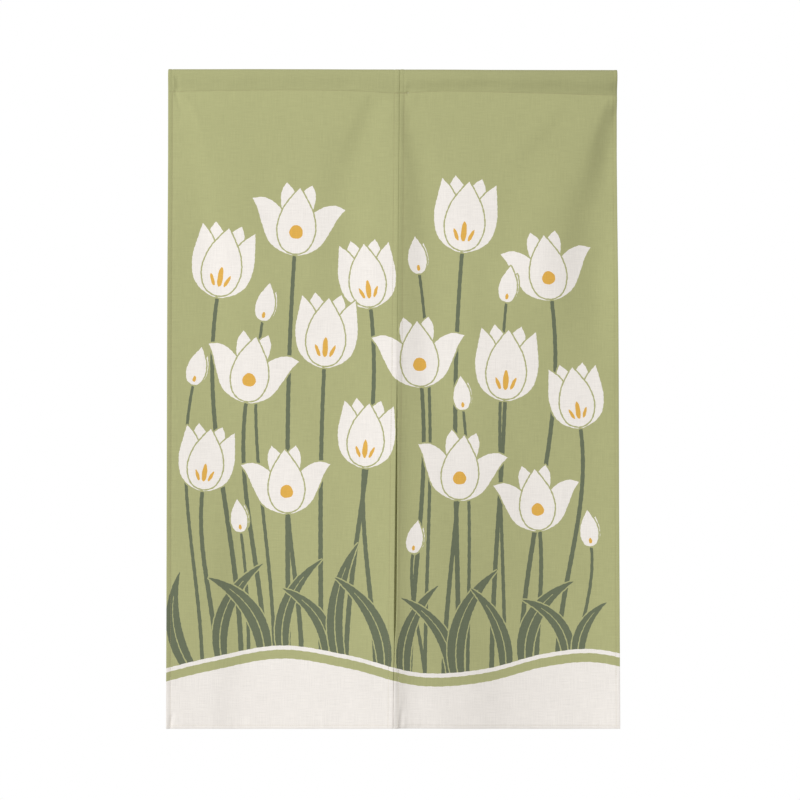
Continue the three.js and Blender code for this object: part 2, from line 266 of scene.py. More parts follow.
# Dents in the front of the pocket and beside it: middle, half width, half height and rise
dents = table("x z wide high rise", [
    (0.420, -0.034, 0.030, 0.024, -0.0044),
    (0.036, -0.036, 0.020, 0.014, -0.0008),
    (-0.380, -0.036, 0.022, 0.014, -0.0007),
    (-0.082, -0.030, 0.030, 0.014, -0.0008),
    (-0.245, -0.028, 0.040, 0.012, -0.0006),
    (0.175, -0.032, 0.046, 0.012, -0.0007),
    (0.300, -0.030, 0.034, 0.012, -0.0007),
])

# Gentle unevenness of the whole cloth: wavelengths across and up, height and shift
ripples = table("across up size shift", [
    (0.190, 0.83, 0.00034, 0.6),
    (0.113, 0.47, 0.00021, 2.1),
    (0.071, 0.31, 0.00012, 4.4),
    (-0.097, 0.26, 0.00012, 1.3),
])

# Puckers along the stitch lines: three wavelengths mixed, their height and their reach
pucker = {"lengths": [0.0113, 0.0171, 0.0287], "size": 0.00022, "reach": 0.011}


def smooth(t):
    u = np.clip(t, 0, 1)
    return u * u * (3 - 2 * u)


def bell(u):
    return np.where(np.abs(u) < 1, (1 + np.cos(np.pi * np.clip(u, -1, 1))) / 2, 0)


def hermite(t, a, slopeA, b, slopeB):
    return ((2 * t**3 - 3 * t**2 + 1) * a + (t**3 - 2 * t**2 + t) * slopeA
            + (3 * t**2 - 2 * t**3) * b + (t**3 - t**2) * slopeB)


def along(points, z):  # x at heights z on a line given as z and x, eased through its points
    zs = np.array([p[0] for p in points])[::-1]
    xs = np.array([p[1] for p in points])[::-1]
    rise = np.diff(xs) / np.diff(zs)
    slope = np.concatenate([[rise[0]], (rise[:-1] + rise[1:]) / 2, [rise[-1]]])
    z = np.clip(z, zs[0], zs[-1])
    i = np.clip(np.searchsorted(zs, z) - 1, 0, len(zs) - 2)
    span = zs[i + 1] - zs[i]
    return hermite((z - zs[i]) / span, xs[i], span * slope[i], xs[i + 1], span * slope[i + 1])


def rowRise(rows, x, z):
    rise = np.zeros_like(x)
    for row in rows:
        first, last = row["path"][0][0], row["path"][-1][0]
        fade = smooth((first - z) / row["fadeIn"]) * smooth((z - last) / row["fadeOut"])
        off = x - along(row["path"], z)
        off = off / np.where(off < 0, row["left"], row["right"])
        profile = np.clip(1 - np.abs(off), 0, 1) ** 1.7 if row["sharp"] else bell(off)
        rise += row["rise"] * fade * profile
    return rise


def dentRise(x, z):
    rise = np.zeros_like(x)
    for dent in dents:
        away = np.hypot((x - dent["x"]) / dent["wide"], (z - dent["z"]) / dent["high"])
        rise += dent["rise"] * bell(away)
    return rise


def rippleRise(x, z):
    rise = np.zeros_like(x)
    for r in ripples:
        rise += r["size"] * np.sin(2 * np.pi * (x / r["across"] + z / r["up"]) + r["shift"])
    return rise


def puckerRise(way, distance):  # way runs along a stitch line, distance is measured from it
    mixed = sum(np.sin(2 * np.pi * way / length + 1.7 * k) for k, length in enumerate(pucker["lengths"]))
    swell = 0.6 + 0.4 * np.sin(2 * np.pi * way / 0.173 + 0.9)
    return pucker["size"] * swell * mixed / 2 * np.exp(-np.abs(distance) / pucker["reach"])


def slitShape(z):
    return along(slitOpening, z)


def tuckSize(key, z):
    return tuck["seam"][key] + (tuck["slit"][key] - tuck["seam"][key]) * slitShape(z)


panels = {
    "left": {"node": "panel_left", "left": lambda z: along(leftEdge, z),
             "right": lambda z: along(joinLine, z) - tuckSize("gap", z) / 2,
             "leftHem": curtain["leftOuterHem"], "rightHem": curtain["innerHem"], "flatWidth": 0.4217,
             "leftLines": [], "rightLines": [0.0012, 0.0019, 0.0028],
             "leftGroove": (1.0, 1.0), "rightGroove": (0.45, 0.2)},
    "right": {"node": "panel_right",
              "left": lambda z: along(joinLine, z) + tuckSize("gap", z) / 2 - tuckSize("under", z),
              "right": lambda z: along(rightEdge, z),
              "leftHem": curtain["innerHem"], "rightHem": curtain["outerHem"], "flatWidth": 0.4045,
              "leftLines": [0.0009, 0.00105, 0.00115, 0.00125, 0.0016, 0.0021, 0.0027, 0.0033,
                            0.0039, 0.0044, 0.0050, 0.0057, 0.0066],
              "rightLines": [], "leftGroove": (1.0, 0.35), "rightGroove": (0.45, 0.25)},
}


def pocketCourse():  # the middle of the cloth round the pocket, from its front stitches to its end behind
    t = np.linspace(0, 1, 40)
    legTop = pocket["height"] - pocket["archHeight"]
    end = curtain["thickness"] + pocket["turnedGap"]
    middle = (pocket["back"] - pocket["front"]) / 2
    radius = (pocket["back"] + pocket["front"]) / 2
    angle = np.pi * t[1:-1]
    y = np.concatenate([-pocket["front"] * smooth(t * legTop / pocket["frontOver"]),
                        middle - radius * np.cos(angle),
                        end + (pocket["back"] - end) * smooth(t[::-1]), [end]])
    up = np.concatenate([legTop * t,
                         legTop + (pocket["archHeight"] - curtain["thickness"] / 2) * np.sin(angle),
                         legTop * t[::-1], [-pocket["turnedUnder"]]])
    way = np.concatenate([[0], np.cumsum(np.hypot(np.diff(y), np.diff(up)))])
    even = np.linspace(0, way[-1], 260)
    y, up = np.interp(even, way, y), np.interp(even, way, up)
    ty, tup = np.gradient(y, even), np.gradient(up, even)
    length = np.hypot(ty, tup)
    return {"way": even, "y": y, "up": up, "ny": -tup / length, "nup": ty / length}


course = pocketCourse()
hangingLength = curtain["drop"] - pocket["height"]
clothLength = hangingLength + course["way"][-1]


def grooveDepth(panel, u, z):  # how strongly the nearer hem shows, near the pocket and below
    near = smooth((z - curtain["grooveFrom"]) / curtain["grooveOver"])
    left, right = (panel[key][1] + (panel[key][0] - panel[key][1]) * near
                   for key in ("leftGroove", "rightGroove"))
    return np.where(u < panel["flatWidth"] / 2, left, right)


def hemInset(panel, u):  # distance from the nearer side edge, and that side's hem width
    fromRight = panel["flatWidth"] - u
    nearLeft = u < fromRight
    return np.where(nearLeft, u, fromRight), np.where(nearLeft, panel["leftHem"], panel["rightHem"])


def foldRise(panel, u, x, z, up, way, inPocket):  # all that rises towards the viewer
    inset, hem = hemInset(panel, u)
    stitch = hem - curtain["stitchInset"]
    bottomStitch = curtain["bottomHem"] - curtain["stitchInset"]
    ripple = rippleRise(x, z) * smooth((curtain["rippleFrom"] - z) / curtain["rippleOver"])
    rise = rowRise(folds, x, z) + ripple
    rise = rise + rowRise(creases, x, z) + dentRise(x, z)
    rise = rise + puckerRise(z, inset - stitch) + puckerRise(x + 0.3, z + pocket["height"])
    rise = rise + puckerRise(x - 0.2, z + curtain["drop"] - bottomStitch)

    # Both legs of the pocket share the dents and creases near the stitches
    frontShare = np.where(inPocket, smooth((pocket["frontEnds"] - way) / pocket["frontFade"]), 1.0)
    backShare = smooth((pocket["backFollows"] - up) / pocket["backFade"]) * (way > pocket["backFrom"])
    rise = rise * np.maximum(frontShare, backShare)
    if panel["node"] == "panel_left":
        curl = np.clip(1 - u / curtain["edgeCurlWide"], 0, 1) ** 1.5
        rise = rise + curtain["edgeCurl"] * curl * frontShare
        dip = np.clip(1 - (panel["flatWidth"] - u) / curtain["seamDipWide"], 0, 1) ** 1.6
        rise = rise - curtain["seamDip"] * dip * frontShare * (1 - slitShape(z))
    return rise


def skinRise(panel, u, s, x, z, inPocket):
    # Stitches sink into the cloth, and a hem is a little fuller than the cloth beside it
    inset, hem = hemInset(panel, u)
    stitch = hem - curtain["stitchInset"]
    bottomStitch = curtain["bottomHem"] - curtain["stitchInset"]
    groove = np.where(inPocket, 1.0, grooveDepth(panel, u, z))
    depth = np.exp(-((inset - stitch) / sink["reach"]) ** 2) * groove
    footDepth = sink["foot"] + sink["footMore"] * bell((x - sink["footX"]) / sink["footHalf"])
    depth = np.maximum(depth, footDepth * np.exp(-((s - bottomStitch) / sink["reach"]) ** 2))
    tacked = smooth((sink["tackHalf"] - np.abs(x - sink["tackX"])) / sink["tackOver"])
    pocketDepth = sink["pocket"] + sink["tack"] * tacked
    depth = np.maximum(depth, pocketDepth * np.exp(-((s - hangingLength) / sink["pocketReach"]) ** 2))
    middle, reach = fullness["middle"], fullness["reach"]
    bulge = np.maximum(bell((inset - stitch * middle) / (stitch * reach)),
                       bell((s - bottomStitch * middle) / (bottomStitch * reach)))
    inner = fullness["hem"] + fullness["up"] * smooth((z - fullness["upFrom"]) / fullness["upOver"])
    inner = inner + fullness["down"] * smooth((fullness["downFrom"] - z) / fullness["downOver"])
    atInner = (panel["node"] == "panel_right") & (u < fullness["innerWithin"])
    return np.where(atInner, inner, fullness["hem"]) * bulge - sink["depth"] * depth


def pocketBack(x, up, way, hemOff):  # how far behind the hanging cloth the pocket's cloth runs
    wave = sum(w["size"] * np.sin(2 * np.pi * x / w["length"] + w["shift"]) for w in pocket["waves"])
    y = np.interp(way, course["way"], course["y"]) - wave * smooth(up / pocket["waveFrom"])
    full = pocket["fuller"][0] + (pocket["fuller"][1] - pocket["fuller"][0]) * smooth(
        (x - pocket["fullerFrom"]) / pocket["fullerOver"])
    bulge = pocket["front"] * smooth(up / pocket["frontOver"])
    bulge = bulge * (1 - smooth((way - pocket["bulgeFrom"]) / pocket["bulgeFade"]))
    return y + hemOff - (full - 1) * bulge


def clothPoint(panel, u, s, side):
    # u runs across and s up from the bottom edge, both on the flat cloth; side 1 is the printed face
    way = np.clip(s - hangingLength, 0, None)
    inPocket = s > hangingLength
    up = np.interp(way, course["way"], course["up"]) * inPocket
    z = np.where(inPocket, up - pocket["height"], s - curtain["drop"])
    left, right = panel["left"](z), panel["right"](z)
    tucked = panel["node"] == "panel_right"
    if tucked:
        ending = smooth((way - tuck["ends"]) / tuck["endsOver"])
        left = left + tuckSize("under", z) * ending
    x = left + (right - left) * u / panel["flatWidth"]
    rise = foldRise(panel, u, x, z, up, way, inPocket)
    skin = skinRise(panel, u, s, x, z, inPocket)

    # How far this face lies from the middle of the cloth, with the turned hems behind
    inset, hem = hemInset(panel, u)
    hemMask = smooth((hem + curtain["hemStep"] - inset) / curtain["hemStep"])
    bottomMask = smooth((curtain["bottomHem"] + curtain["hemStep"] - s) / curtain["hemStep"])
    half = curtain["thickness"] / 2
    hemDepth = curtain["hemExtra"] * np.maximum(hemMask, bottomMask)
    behind = half + hemDepth - curtain["grooveBehind"] * np.minimum(skin, 0)
    out = skin + half if side > 0 else -behind
    if tucked:
        flat, over = tuckSize("flat", z), tuckSize("over", z)
        out = out - tuckSize("back", z) * (1 - ending) * (1 - smooth((u - flat) / (over - flat)))
    backHem = smooth((way - pocket["backHemFrom"]) / pocket["backHemOver"]) * hemMask
    hemOff = backHem * 2 * curtain["hemExtra"]
    ny = np.where(inPocket, np.interp(way, course["way"], course["ny"]), -1.0)
    y = np.where(inPocket, pocketBack(x, up, way, hemOff), 0.0) - rise + ny * out

    # The pocket's stitch line wanders, its right end sags, and cloth further back hangs lower
    lift = np.where(inPocket, 1 - np.clip(up, 0, 1) / pocket["height"],
                    smooth(1 + (z + pocket["height"]) / pocket["liftOver"]))
    lift = along(pocketLine, x) * lift
    sag = -pocket["sag"] * smooth((x - pocket["sagFrom"]) / pocket["sagOver"])
    sag = sag * np.clip(up, 0, 1) / pocket["height"]
    foot = curtain["footFollow"] * smooth((curtain["footFrom"] - z) / curtain["footOver"])
    nup = np.where(inPocket, np.interp(way, course["way"], course["nup"]), 0.0)
    z = z + lift + foot * rowRise(folds, x, z) + np.where(inPocket, sag, 0.0) + nup * out
    return np.stack([x, y, z], 1)


print("cloth shape ready")

# The print: a field of flowers in white and dark green on the ground colour

printLook = {
    "step": 0.0034,           # spacing of points along an outline
    "ragged": 0.00030,        # how far a printed edge wanders on the weave
    "stem": 0.0080,
    "budStem": 0.74,          # a bud's stem, as a share of the others
    "stemTaper": (0.86, 1.16),
    "petalGap": 0.0026,       # ground showing between petals
    "leafGap": 0.0022,
    "rib": (0.0026, 0.0010),  # a leaf's rib, from its width at the foot to that near the tip
    "rootBelow": 0.02,        # stems and leaves start this far below the mound's top
    "moundLine": 0.0075,
    "moundLineUp": 0.020,
    "plainFoot": -1.26,
    "seamShift": 0.0008,      # the right panel's print sits a little off at the seam
}

# Petals as closed outlines in a head 1 high with its foot at 0, 0. A third value of 1 is a point
petals = {
    "sideLeft": [(0.02, 0.0, 0), (-0.20, 0.03, 0), (-0.37, 0.20, 0), (-0.43, 0.48, 0), (-0.40, 0.74, 0),
                 (-0.36, 0.97, 1), (-0.22, 0.83, 0), (-0.10, 0.62, 0), (0.0, 0.40, 0)],
    "sideRight": [(-0.02, 0.0, 0), (0.19, 0.02, 0), (0.37, 0.17, 0), (0.44, 0.43, 0), (0.42, 0.72, 0),
                  (0.39, 0.93, 1), (0.25, 0.80, 0), (0.11, 0.60, 0), (0.0, 0.38, 0)],
    "middle": [(0.0, 0.0, 0), (-0.19, 0.09, 0), (-0.27, 0.34, 0), (-0.21, 0.62, 0), (-0.08, 0.83, 0),
               (0.015, 0.95, 1), (0.12, 0.79, 0), (0.23, 0.58, 0), (0.27, 0.32, 0), (0.18, 0.08, 0)],
    "backLeft": [(-0.02, 0.45, 0), (-0.21, 0.60, 0), (-0.25, 0.86, 0), (-0.18, 1.02, 1), (-0.05, 0.88, 0),
                 (0.06, 0.66, 0)],
    "backRight": [(0.02, 0.45, 0), (-0.04, 0.68, 0), (0.07, 0.90, 0), (0.19, 1.00, 1), (0.25, 0.84, 0),
                  (0.20, 0.60, 0)],
    "flareLeft": [(0.0, 0.0, 0), (-0.19, 0.02, 0), (-0.38, 0.15, 0), (-0.50, 0.40, 0), (-0.58, 0.62, 0),
                  (-0.66, 0.76, 1), (-0.48, 0.78, 0), (-0.30, 0.69, 0), (-0.15, 0.52, 0), (-0.03, 0.30, 0)],
    "flareRight": [(0.0, 0.0, 0), (0.18, 0.01, 0), (0.36, 0.13, 0), (0.49, 0.35, 0), (0.59, 0.55, 0),
                   (0.69, 0.68, 1), (0.52, 0.73, 0), (0.33, 0.67, 0), (0.16, 0.52, 0), (0.03, 0.30, 0)],
    "bud": [(0.0, 0.0, 0), (-0.17, 0.07, 0), (-0.25, 0.32, 0), (-0.20, 0.62, 0), (-0.07, 0.86, 0),
            (0.02, 1.0, 1), (0.11, 0.84, 0), (0.22, 0.58, 0), (0.24, 0.30, 0), (0.15, 0.06, 0)],
    "budSide": [(0.0, 0.0, 0), (0.14, 0.04, 0), (0.27, 0.22, 0), (0.29, 0.50, 0), (0.22, 0.80, 1),
                (0.10, 0.60, 0), (0.02, 0.30, 0)],
}

# Each kind of head: its petals from back to front, and its ochre marks as x, y, half width,
# half height and turn
heads = {
    "cup": {"petals": ["backLeft", "backRight", "sideLeft", "sideRight", "middle"],
            "marks": [(0.0, 0.24, 0.040, 0.14, 0), (-0.10, 0.20, 0.025, 0.09, 24),
                      (0.10, 0.20, 0.025, 0.09, -24)]},
    "open": {"petals": ["backLeft", "backRight", "flareLeft", "flareRight", "middle"],
             "marks": [(0.0, 0.30, 0.10, 0.10, 0)]},
    "bud": {"petals": ["budSide", "bud"], "marks": [(0.0, 0.14, 0.045, 0.08, 0)]},
}

# Each flower: the foot of its head, the head's height, its lean in degrees to the right, and
# the x of its stem at the mound
flowers = table("kind x z size lean root", [
    ("cup", -0.318, -0.412, 0.130, 9, -0.275),
    ("open", -0.178, -0.336, 0.126, 4, -0.190),
    ("cup", -0.040, -0.432, 0.120, -7, -0.085),
    ("cup", 0.126, -0.330, 0.132, 5, 0.120),
    ("open", 0.288, -0.418, 0.122, -8, 0.232),
    ("open", -0.266, -0.604, 0.124, 8, -0.232),
    ("cup", -0.124, -0.540, 0.130, 3, -0.130),
    ("open", 0.052, -0.576, 0.124, -5, 0.030),
    ("cup", 0.204, -0.600, 0.132, 2, 0.180),
    ("cup", 0.341, -0.650, 0.114, -9, 0.300),
    ("cup", -0.345, -0.764, 0.116, 7, -0.318),
    ("open", -0.190, -0.806, 0.120, -4, -0.165),
    ("cup", -0.052, -0.722, 0.120, 4, -0.030),
    ("open", 0.118, -0.782, 0.122, 5, 0.092),
    ("open", 0.268, -0.838, 0.116, -6, 0.262),
    ("bud", -0.236, -0.458, 0.070, 10, -0.215),
    ("bud", 0.048, -0.372, 0.068, -8, 0.058),
    ("bud", 0.206, -0.424, 0.066, 6, 0.205),
    ("bud", -0.362, -0.574, 0.070, 12, -0.345),
    ("bud", 0.128, -0.620, 0.062, -6, 0.136),
    ("bud", -0.276, -0.842, 0.060, -8, -0.262),
    ("bud", 0.362, -0.868, 0.066, -8, 0.336),
    ("bud", 0.036, -0.880, 0.060, 8, 0.060),
])

# Blade leaves: x at the root, the tip, how far the middle bows to one side, and the width
leaves = table("root tipX tipZ bow width", [
    (-0.345, -0.386, -0.915, -0.030, 0.028),
    (-0.300, -0.236, -0.900, -0.040, 0.027),
    (-0.235, -0.335, -0.925, 0.036, 0.031),
    (-0.190, -0.128, -0.892, -0.036, 0.026),
    (-0.120, -0.200, -0.945, 0.034, 0.027),
    (-0.085, -0.062, -0.862, -0.030, 0.028),
    (-0.020, -0.105, -0.925, 0.036, 0.029),
    (0.030, 0.082, -0.940, -0.032, 0.026),
    (0.105, 0.015, -0.962, 0.036, 0.026),
    (0.130, 0.190, -0.912, -0.040, 0.031),
    (0.200, 0.142, -0.945, 0.028, 0.026),
    (0.250, 0.330, -0.932, -0.040, 0.031),
    (0.318, 0.236, -0.965, 0.034, 0.026),
    (0.345, 0.390, -0.970, -0.024, 0.024),
])

# The mound that the stems rise from, as x and z from left to right
moundTop = [(-0.45, -1.124), (-0.33, -1.094), (-0.20, -1.072), (-0.08, -1.090), (0.05, -1.122),
            (0.17, -1.114), (0.28, -1.086), (0.36, -1.078), (0.45, -1.094)]


def closedCurve(points, step):
    spots = [np.array(p[:2]) for p in points]
    count = len(spots)
    drawn = []
    for i in range(count):
        before, here, after, next2 = (spots[(i + k) % count] for k in (-1, 0, 1, 2))
        leave = (after - here) * 0.6 if points[i][2] else (after - before) / 2
        arrive = (after - here) * 0.6 if points[(i + 1) % count][2] else (next2 - here) / 2
        steps = max(2, math.ceil(np.linalg.norm(after - here) / step))
        drawn += [hermite(k / steps, here, leave, after, arrive) for k in range(steps)]
    return np.array(drawn)


def bezier(a, b, c, d, count):
    t = np.linspace(0, 1, count + 1)[:, None]
    return (1 - t)**3 * a + 3 * (1 - t)**2 * t * b + 3 * (1 - t) * t**2 * c + t**3 * d


def placed(loop, flower):
    turn = math.radians(-flower["lean"])
    c, s = math.cos(turn), math.sin(turn)
    size = flower["size"]
    return np.stack([flower["x"] + size * (loop[:, 0] * c - loop[:, 1] * s),
                     flower["z"] + size * (loop[:, 0] * s + loop[:, 1] * c)], 1)


def turned(loop):  # the loop, run anticlockwise
    after = np.roll(loop, -1, 0)
    area = np.sum(loop[:, 0] * after[:, 1] - after[:, 0] * loop[:, 1])
    return loop if area > 0 else loop[::-1]


def grown(loop, by):
    loop = turned(loop)
    way = np.roll(loop, -1, 0) - np.roll(loop, 1, 0)
    way /= np.linalg.norm(way, axis=1)[:, None] + 1e-12
    return loop + by * np.stack([way[:, 1], -way[:, 0]], 1)


def band(path, width):
    way = np.gradient(path, axis=0)
    way /= np.linalg.norm(way, axis=1)[:, None]
    aside = np.stack([-way[:, 1], way[:, 0]], 1) * np.broadcast_to(width, len(path))[:, None] / 2
    return np.concatenate([path + aside, (path - aside)[::-1]])


def moundHeight(x):
    xs = np.array([p[0] for p in moundTop])
    zs = np.array([p[1] for p in moundTop])
    slope = np.gradient(zs, xs)
    i = np.clip(np.searchsorted(xs, x) - 1, 0, len(xs) - 2)
    span = xs[i + 1] - xs[i]
    return hermite((x - xs[i]) / span, zs[i], span * slope[i], zs[i + 1], span * slope[i + 1])


def stemShape(flower):
    lean = math.radians(flower["lean"])
    down = np.array([-math.sin(lean), -math.cos(lean)])
    top = np.array([flower["x"], flower["z"]])
    root = np.array([flower["root"], moundHeight(flower["root"]) - printLook["rootBelow"]])
    reach = np.linalg.norm(top - root)
    count = int(reach / printLook["step"] / 1.6)
    path = bezier(top - down * 0.006, top + down * reach * 0.35, root + [0, reach * 0.38], root, count)
    thin = printLook["budStem"] if flower["kind"] == "bud" else 1
    return band(path, printLook["stem"] * thin * np.linspace(*printLook["stemTaper"], len(path)))


def leafShapes(leaf):
    root = np.array([leaf["root"], moundHeight(leaf["root"]) - printLook["rootBelow"]])
    tip = np.array([leaf["tipX"], leaf["tipZ"]])
    way = tip - root
    reach = np.linalg.norm(way)
    aside = np.array([-way[1], way[0]]) / reach * leaf["bow"]
    path = bezier(root, root + way * 0.34 - aside * 1.5, root + way * 0.72 - aside * 1.2, tip,
                  int(reach / printLook["step"]))
    t = np.linspace(0.06, 1, len(path))
    blade = band(path, leaf["width"] * np.sin(np.pi * t**0.8) ** 0.85 + 0.0006)
    rib = path[int(len(path) * 0.12):int(len(path) * 0.80)]
    return blade, band(rib, np.linspace(*printLook["rib"], len(rib)))


def headShapes(flower):
    shapes = []
    kind = heads[flower["kind"]]
    for name in kind["petals"]:
        loop = placed(closedCurve(petals[name], printLook["step"] / flower["size"]), flower)
        shapes += [("ground", grown(loop, printLook["petalGap"])), ("white", loop)]
    for x, y, halfWidth, halfHeight, turn in kind["marks"]:
        way = np.linspace(0, 2 * np.pi, 16, endpoint=False)
        c, s = math.cos(math.radians(turn)), math.sin(math.radians(turn))
        across = halfWidth * np.cos(way)
        up = halfHeight * np.sin(way) * (1 + 0.15 * np.sin(way))
        mark = np.stack([x + across * c - up * s, y + across * s + up * c], 1)
        shapes.append(("ochre", placed(mark, flower)))
    return shapes


def drawPrint():  # every shape as a colour and an outline in x and z, from back to front
    shapes = [("green", stemShape(flower)) for flower in flowers]
    for leaf in leaves:
        blade, rib = leafShapes(leaf)
        shapes += [("ground", grown(blade, printLook["leafGap"])), ("green", blade), ("ground", rib)]
    for flower in flowers:
        shapes += headShapes(flower)
    xs = np.arange(-0.44, 0.441, printLook["step"] * 1.3)
    top = np.stack([xs, moundHeight(xs)], 1)
    foot = np.array([[0.45, printLook["plainFoot"]], [-0.45, printLook["plainFoot"]]])
    upper = top + [0, printLook["moundLineUp"] + printLook["moundLine"] / 2]
    lower = top + [0, printLook["moundLineUp"] - printLook["moundLine"] / 2]
    shapes += [("ground", np.concatenate([upper, foot])),
               ("white", np.concatenate([upper, lower[::-1]])),
               ("white", np.concatenate([top, foot]))]
    return shapes


def ragged(loop, seed):  # wander along an outline by mixed waves, so that it is not cut too clean
    k = np.arange(len(loop))
    size = printLook["ragged"]
    return loop + size * np.stack([np.sin(k * 2.3 + seed) + 0.6 * np.sin(k * 1.13 + 2 * seed),
                                   np.cos(k * 1.9 + 3 * seed) + 0.6 * np.cos(k * 0.87 + seed)], 1)


artwork = [(colour, ragged(loop, 0.7 * i)) for i, (colour, loop) in enumerate(drawPrint())]
print("print drawn:", len(artwork), "shapes")

# Cloth meshes

# Painted shade where the cloth lies double, on the hems, the foot and the pocket, darker still on the
# pocket's right: in shares, with a margin beside a hem
paintedDoubleShade = {
    "hem": 0.9,
    "foot": 0.5,
    "footFrom": 0.01,
    "margin": 0.0004,
    "pocket": 0.8,
    "pocketMore": 0.8,        # more painted shade still from this x on
    "moreFrom": 0.10,
    "moreOver": 0.20,
}
mesh = {"grid": 0.0056, "fine": 0.0025, "nearHem": 0.022, "pocketGrid": 0.0028, "clearance": 0.0011,
        "fromEdge": 0.0024, "pocketFrom": 0.0045}


def toFlat(panel, loop):  # from hanging x and z to across and along the flat cloth
    x, z = loop[:, 0], loop[:, 1]
    left, right = panel["left"](z), panel["right"](z)
    return np.stack([(x - left) / (right - left) * panel["flatWidth"], z + curtain["drop"]], 1)


def lineSpots(hem):  # where the grid needs extra lines beside a hem's stitches and its inner edge
    stitch = hem - curtain["stitchInset"]
    return [stitch + d for d in (-0.0019, -0.0008, 0, 0.0008)] + [
        hem, hem + curtain["hemStep"], hem + 0.0022]


def gridPoints(panel):
    low, high = curtain["edgeRound"], panel["flatWidth"] - curtain["edgeRound"]
    end = clothLength - curtain["edgeRound"]
    acrossLines = lineSpots(panel["leftHem"]) + panel["leftLines"]
    acrossLines += [panel["flatWidth"] - u for u in lineSpots(panel["rightHem"]) + panel["rightLines"]]
    upLines = lineSpots(curtain["bottomHem"])
    upLines += [hangingLength + d for d in (-0.0024, -0.0011, 0, 0.0011, 0.0024)]

    def spread(start, stop, step, lines):
        even = np.linspace(start, stop, max(2, round((stop - start) / step) + 1))
        away = np.min(np.abs(even[:, None] - np.array(lines)[None, :]), 1)
        return np.concatenate([even[away > step * 0.3], lines])

    across = spread(low + mesh["fromEdge"], high - mesh["fromEdge"], mesh["grid"], acrossLines)
    acrossFine = spread(low + mesh["fromEdge"], high - mesh["fromEdge"], mesh["fine"], acrossLines)
    up = spread(low + mesh["fromEdge"], hangingLength, mesh["grid"], upLines)
    upFine = spread(low + mesh["fromEdge"], hangingLength, mesh["fine"], upLines)
    pocketUp = np.arange(hangingLength + mesh["pocketFrom"], end - 0.001, mesh["pocketGrid"])
    near = mesh["nearHem"]
    parts = []
    for us, ss, keep in (
            (across, up, lambda u, s: (u >= near) & (u <= high - near)
             & (s >= near) & (s < hangingLength - near)),
            (acrossFine, upFine, lambda u, s: (u < near) | (u > high - near)),
            (acrossFine, upFine, lambda u, s: (u >= near) & (u <= high - near)
             & ((s < near) | (s >= hangingLength - near * 0.7))),
            (across, pocketUp, lambda u, s: s > hangingLength)):
        u, s = (a.ravel() for a in np.meshgrid(us, ss))
        chosen = keep(u, s)
        parts.append(np.stack([u[chosen], s[chosen]], 1))
    return np.concatenate(parts)


def domainLoop(panel):
    low, high = curtain["edgeRound"], panel["flatWidth"] - curtain["edgeRound"]
    end = clothLength - curtain["edgeRound"]
    us = np.linspace(low, high, round((high - low) / mesh["fine"]) + 1)
    ss = np.linspace(low, end, round((end - low) / mesh["fine"]) + 1)
    return np.concatenate([np.stack([us[:-1], np.full(len(us) - 1, low)], 1),
                           np.stack([np.full(len(ss) - 1, high), ss[:-1]], 1),
                           np.stack([us[:0:-1], np.full(len(us) - 1, end)], 1),
                           np.stack([np.full(len(ss) - 1, low), ss[:0:-1]], 1)])


def awayFrom(points, loops, clearance):
    dense = []
    for loop in loops:
        after = np.roll(loop, -1, 0)
        for t in (0, 0.25, 0.5, 0.75):
            dense.append(loop * (1 - t) + after * t)
    dense = np.concatenate(dense)
    tree = kdtree.KDTree(len(dense))
    for i, (u, s) in enumerate(dense):
        tree.insert((u, s, 0), i)
    tree.balance()
    far = [tree.find((u, s, 0))[2] > clearance for u, s in points]
    return points[np.array(far)]


def triangulate(panel):
    shift = printLook["seamShift"] if panel["node"] == "panel_right" else 0
    domain = domainLoop(panel)
    shapes = []
    for colour, outline in artwork:
        loop = turned(toFlat(panel, outline + [shift, 0]))
        if loop[:, 0].max() > 0 and loop[:, 0].min() < panel["flatWidth"]:
            shapes.append((colour, loop))
    inner = awayFrom(gridPoints(panel), [loop for colour, loop in shapes], mesh["clearance"])
    points = [inner, domain] + [loop for colour, loop in shapes]
    faces = []
    start = len(inner)
    for loop in points[1:]:
        faces.append(list(range(start, start + len(loop))))
        start += len(loop)
    flat = [Vector(p) for p in np.concatenate(points)]
    made = delaunay_2d_cdt(flat, [], faces, 0, 1e-7, True)
    colours = ["ground"] + [colour for colour, loop in shapes]
    triangles, tints = [], []
    for triangle, sources in zip(made[2], made[5]):
        if 0 in sources:
            triangles.append(triangle)
            tints.append(colours[max(sources)])
    triangles = np.array(triangles)
    used = np.unique(triangles)
    return np.array([made[0][i][:] for i in used]), np.searchsorted(used, triangles), tints


def boundary(triangles):  # the outline of the triangles as point numbers in order
    after = {}
    edges = {(a, b) for t in triangles.tolist() for a, b in ((t[0], t[1]), (t[1], t[2]), (t[2], t[0]))}
    for a, b in edges:
        if (b, a) not in edges:
            after[a] = b
    loop = [next(iter(after))]
    while after[loop[-1]] != loop[0]:
        loop.append(after[loop[-1]])
    return np.array(loop)


def atTrueEdge(panel, flat):
    edge = curtain["edgeRound"] + 1e-6
    u, s = flat[:, 0].copy(), flat[:, 1].copy()
    u[flat[:, 0] < edge] = 0
    u[flat[:, 0] > panel["flatWidth"] - edge] = panel["flatWidth"]
    s[flat[:, 1] < edge] = 0
    s[flat[:, 1] > clothLength - edge] = clothLength
    return u, s


